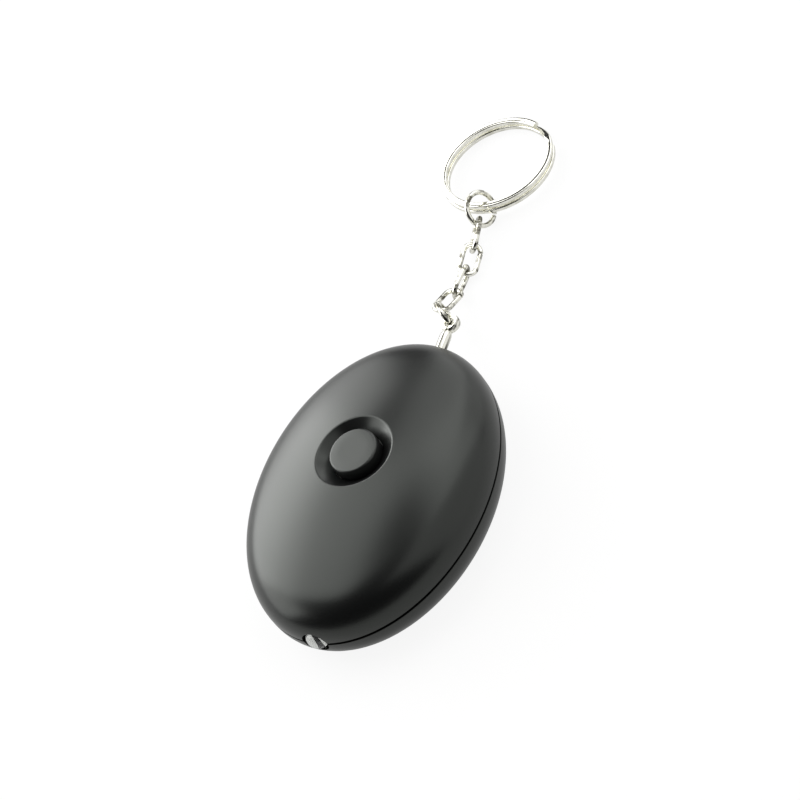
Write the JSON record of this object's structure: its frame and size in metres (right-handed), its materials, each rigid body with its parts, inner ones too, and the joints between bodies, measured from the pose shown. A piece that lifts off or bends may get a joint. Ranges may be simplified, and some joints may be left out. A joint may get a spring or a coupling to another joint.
{
  "type": "personal safety alarm",
  "caption": "Oval domed hand-held alarm with a push button in a round dish, a lamp in one end, and a pull pin in the other on a short chain with a key ring.",
  "frame": {"origin": "middle of the flat back of the case, on the surface that it rests on", "axes": "+Z out of the button face, +Y along the pull pin towards the chain, +X across the case"},
  "size_m": [0.05, 0.1297, 0.0199],
  "materials": {
    "case_plastic": "satin dark grey moulded plastic",
    "button_plastic": "satin dark grey moulded plastic",
    "black_plastic": "matt black moulded plastic",
    "switch_metal": "pressed tin plate",
    "board": "green solder mask",
    "clear_lamp": "water-clear epoxy",
    "tinned_wire": "tinned wire",
    "brass": "plain rolled brass",
    "ceramic": "plain fired ceramic",
    "red_wire": "plain wire insulation",
    "ferrite": "plain sintered ferrite",
    "copper": "enamelled wire",
    "can_aluminium": "drawn can",
    "cell_steel": "nickel-plated steel",
    "screw_steel": "zinc-plated steel",
    "chain_nickel": "bright nickel plate"
  },
  "bodies": {
    "case": {"upper_shell": "case_plastic", "lower_shell": "case_plastic", "switch_body": "switch_metal", "circuit_board": "board", "led_lamp": "clear_lamp", "led_leads": "tinned_wire", "pin_socket": "black_plastic", "socket_contacts": "brass", "sounder_plate": "brass", "sounder_ceramic": "ceramic", "sounder_leads": "red_wire", "coil_core": "ferrite", "coil_winding": "copper", "filter_capacitor": "can_aluminium", "control_chip": "black_plastic", "driver_transistor": "black_plastic", "chip_resistors": "ceramic", "battery_cells": "cell_steel", "battery_plate": "cell_steel", "battery_spring": "cell_steel", "case_screws": "screw_steel"},
    "button": {"push_button": "button_plastic", "switch_plunger": "black_plastic"},
    "battery_door": {"battery_door": "case_plastic", "door_screws": "screw_steel"},
    "pull_pin": {"pull_pin": "chain_nickel"},
    "jump_ring": {"jump_ring": "chain_nickel"},
    "chain_link_1": {"chain_link_1": "chain_nickel"},
    "chain_link_2": {"chain_link_2": "chain_nickel"},
    "chain_link_3": {"chain_link_3": "chain_nickel"},
    "chain_link_4": {"chain_link_4": "chain_nickel"},
    "end_ring": {"end_ring": "chain_nickel"},
    "split_ring": {"split_ring": "chain_nickel"}
  },
  "joints": [
    {"name": "button_press", "type": "slide", "parent": "case", "child": "button", "axis": [0, 0, -1], "range_m": [0, 0.0008], "stiffness_N_per_m": 400},
    {"name": "battery_door_lift", "type": "slide", "parent": "case", "child": "battery_door", "axis": [0, 0, -1], "range_m": [0, 0.005]},
    {"name": "pin_pull", "type": "slide", "parent": "case", "child": "pull_pin", "axis": [0, 1, 0], "range_m": [0, 0.012]},
    {"name": "jump_ring_swing", "type": "hinge", "parent": "pull_pin", "child": "jump_ring", "pos_m": [0, 0.0412, 0.0056], "axis": [-0.1736, 0, 0.9848], "range_deg": [-60, 40]},
    {"name": "chain_link_1_swing", "type": "hinge", "parent": "jump_ring", "child": "chain_link_1", "pos_m": [-0.00413, 0.0457, 0.00487], "axis": [-0.1736, 0, 0.9848], "range_deg": [-36, 36]},
    {"name": "chain_link_2_swing", "type": "hinge", "parent": "chain_link_1", "child": "chain_link_2", "pos_m": [-0.00374, 0.05123, 0.00271], "axis": [0.9934, -0.0949, -0.065], "range_deg": [-36, 36]},
    {"name": "chain_link_3_swing", "type": "hinge", "parent": "chain_link_2", "child": "chain_link_3", "pos_m": [-0.00385, 0.05714, 0.00205], "axis": [0.2737, 0.1119, 0.9553], "range_deg": [-36, 36]},
    {"name": "chain_link_4_swing", "type": "hinge", "parent": "chain_link_3", "child": "chain_link_4", "pos_m": [-0.00452, 0.06305, 0.00209], "axis": [0.8601, 0.1015, -0.5], "range_deg": [-36, 36]},
    {"name": "end_ring_swing", "type": "hinge", "parent": "chain_link_4", "child": "end_ring", "pos_m": [-0.00503, 0.06888, 0.00319], "axis": [0.6527, -0.0857, 0.7527], "range_deg": [-40, 40]},
    {"name": "split_ring_swing", "type": "hinge", "parent": "end_ring", "child": "split_ring", "pos_m": [-0.00516, 0.07175, 0.00303], "axis": [0.9936, 0.1132, 0], "range_deg": [-60, 60]}
  ]
}
